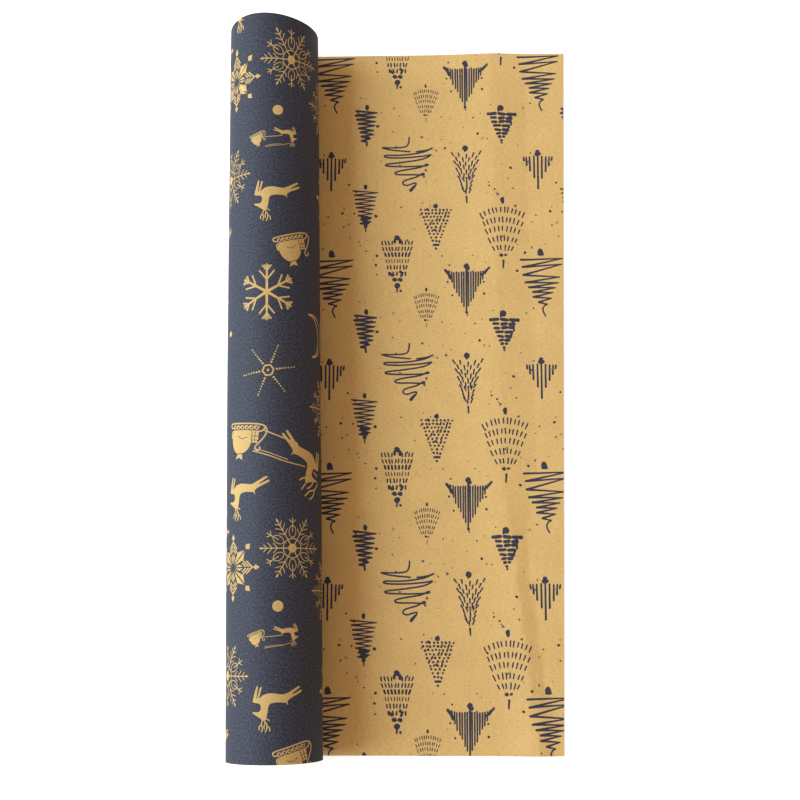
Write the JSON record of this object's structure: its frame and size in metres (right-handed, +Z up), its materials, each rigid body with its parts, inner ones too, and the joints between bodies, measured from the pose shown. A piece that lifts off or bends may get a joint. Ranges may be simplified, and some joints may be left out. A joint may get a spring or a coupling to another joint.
{
  "type": "gift wrapping paper roll",
  "caption": "Gift wrapping paper, printed on both faces and wound on a board core, lying with a stretch of sheet pulled out flat.",
  "frame": {"origin": "middle of the core's bore, on its axis, half way along the roll", "axes": "+Y along the core and the roll, +X the way the free sheet is pulled out, +Z up; the sheet's underside and the roll's lowest line lie on z = -27.2 mm"},
  "size_m": [0.2072, 0.4344, 0.0544],
  "materials": {
    "core_board": "uncoated grey-brown paperboard",
    "glue": "dry glue",
    "printed_paper": "uncoated ribbed kraft paper, printed in dark blue"
  },
  "bodies": {
    "roll": {"core_inner_ply": "core_board", "core_middle_ply": "core_board", "core_outer_ply": "core_board", "start_glue_line": "glue", "wound_turns": "printed_paper", "outer_turns": "printed_paper"},
    "strip_01": {"sheet_strip_01": "printed_paper"},
    "strip_02": {"sheet_strip_02": "printed_paper"},
    "strip_03": {"sheet_strip_03": "printed_paper"},
    "strip_04": {"sheet_strip_04": "printed_paper"},
    "strip_05": {"sheet_strip_05": "printed_paper"},
    "strip_06": {"sheet_strip_06": "printed_paper"},
    "strip_07": {"sheet_strip_07": "printed_paper"},
    "strip_08": {"sheet_strip_08": "printed_paper"},
    "strip_09": {"sheet_strip_09": "printed_paper"},
    "strip_10": {"sheet_strip_10": "printed_paper"},
    "strip_11": {"sheet_strip_11": "printed_paper"},
    "strip_12": {"sheet_strip_12": "printed_paper"},
    "strip_13": {"sheet_strip_13": "printed_paper"},
    "strip_14": {"sheet_strip_14": "printed_paper"}
  },
  "joints": [
    {"name": "sheet_winds_up", "type": "hinge", "parent": "roll", "child": "strip_01", "pos_m": [0.01447, 0, -0.0271], "axis": [0, -1, 0], "range_deg": [0, 38.69]},
    {"name": "sheet_bend_02", "type": "hinge", "parent": "strip_01", "child": "strip_02", "pos_m": [0.02576, 0, -0.0271], "axis": [0, -1, 0], "range_deg": [0, 22.6]},
    {"name": "sheet_bend_03", "type": "hinge", "parent": "strip_02", "child": "strip_03", "pos_m": [0.03705, 0, -0.0271], "axis": [0, -1, 0], "range_deg": [0, 22.6]},
    {"name": "sheet_bend_04", "type": "hinge", "parent": "strip_03", "child": "strip_04", "pos_m": [0.04834, 0, -0.0271], "axis": [0, -1, 0], "range_deg": [0, 22.6]},
    {"name": "sheet_bend_05", "type": "hinge", "parent": "strip_04", "child": "strip_05", "pos_m": [0.05962, 0, -0.0271], "axis": [0, -1, 0], "range_deg": [0, 22.6]},
    {"name": "sheet_bend_06", "type": "hinge", "parent": "strip_05", "child": "strip_06", "pos_m": [0.07091, 0, -0.0271], "axis": [0, -1, 0], "range_deg": [0, 22.6]},
    {"name": "sheet_bend_07", "type": "hinge", "parent": "strip_06", "child": "strip_07", "pos_m": [0.0822, 0, -0.0271], "axis": [0, -1, 0], "range_deg": [0, 22.6]},
    {"name": "sheet_bend_08", "type": "hinge", "parent": "strip_07", "child": "strip_08", "pos_m": [0.09349, 0, -0.0271], "axis": [0, -1, 0], "range_deg": [0, 22.6]},
    {"name": "sheet_bend_09", "type": "hinge", "parent": "strip_08", "child": "strip_09", "pos_m": [0.10477, 0, -0.0271], "axis": [0, -1, 0], "range_deg": [0, 22.6]},
    {"name": "sheet_bend_10", "type": "hinge", "parent": "strip_09", "child": "strip_10", "pos_m": [0.11606, 0, -0.0271], "axis": [0, -1, 0], "range_deg": [0, 22.6]},
    {"name": "sheet_bend_11", "type": "hinge", "parent": "strip_10", "child": "strip_11", "pos_m": [0.12735, 0, -0.0271], "axis": [0, -1, 0], "range_deg": [0, 22.6]},
    {"name": "sheet_bend_12", "type": "hinge", "parent": "strip_11", "child": "strip_12", "pos_m": [0.13864, 0, -0.0271], "axis": [0, -1, 0], "range_deg": [0, 22.6]},
    {"name": "sheet_bend_13", "type": "hinge", "parent": "strip_12", "child": "strip_13", "pos_m": [0.14992, 0, -0.0271], "axis": [0, -1, 0], "range_deg": [0, 22.6]},
    {"name": "sheet_bend_14", "type": "hinge", "parent": "strip_13", "child": "strip_14", "pos_m": [0.16121, 0, -0.0271], "axis": [0, -1, 0], "range_deg": [0, 22.6]}
  ],
  "couplings": [
    {"joint": "sheet_bend_02", "follows": "sheet_winds_up", "ratio": 0.54717},
    {"joint": "sheet_bend_03", "follows": "sheet_winds_up", "ratio": 0.54717},
    {"joint": "sheet_bend_04", "follows": "sheet_winds_up", "ratio": 0.54717},
    {"joint": "sheet_bend_05", "follows": "sheet_winds_up", "ratio": 0.54717},
    {"joint": "sheet_bend_06", "follows": "sheet_winds_up", "ratio": 0.54717},
    {"joint": "sheet_bend_07", "follows": "sheet_winds_up", "ratio": 0.54717},
    {"joint": "sheet_bend_08", "follows": "sheet_winds_up", "ratio": 0.54717},
    {"joint": "sheet_bend_09", "follows": "sheet_winds_up", "ratio": 0.54717},
    {"joint": "sheet_bend_10", "follows": "sheet_winds_up", "ratio": 0.54717},
    {"joint": "sheet_bend_11", "follows": "sheet_winds_up", "ratio": 0.54717},
    {"joint": "sheet_bend_12", "follows": "sheet_winds_up", "ratio": 0.54717},
    {"joint": "sheet_bend_13", "follows": "sheet_winds_up", "ratio": 0.54717},
    {"joint": "sheet_bend_14", "follows": "sheet_winds_up", "ratio": 0.54717}
  ]
}
